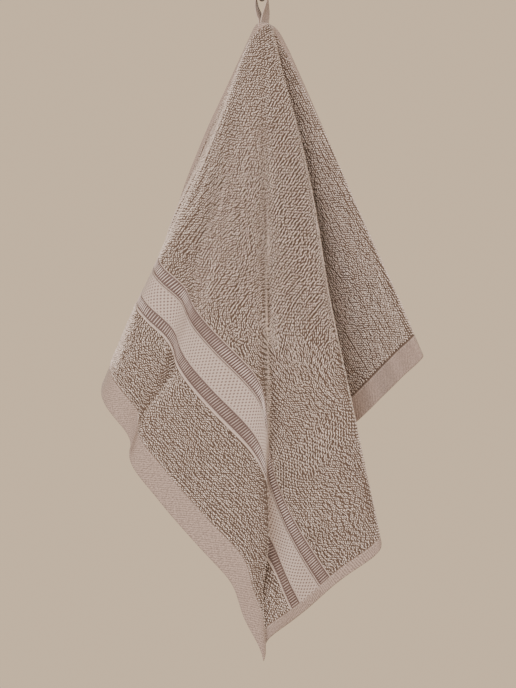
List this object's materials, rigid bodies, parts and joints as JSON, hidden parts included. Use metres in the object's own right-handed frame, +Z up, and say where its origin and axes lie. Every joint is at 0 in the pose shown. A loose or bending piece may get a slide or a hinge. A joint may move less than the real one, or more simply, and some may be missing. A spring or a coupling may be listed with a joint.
{
  "type": "hand towel on wall hook",
  "caption": "Terry hand towel with a woven border, hanging in long folds by its tape loop from a plain wall hook.",
  "frame": {"origin": "centre of the wall plate's back face, which lies on the wall", "axes": "+Z up, +Y into the wall, -Y towards the room, +X to the right as seen from the room"},
  "size_m": [0.318, 0.1499, 0.6993],
  "materials": {
    "terry": "cotton loops, matte",
    "tape": "woven cotton tape, matte",
    "dark_metal": "dark bronze, satin"
  },
  "bodies": {
    "root": {"towel": "terry", "hanging_loop": "tape", "hook_arm": "dark_metal", "wall_plate": "dark_metal"}
  },
  "joints": []
}
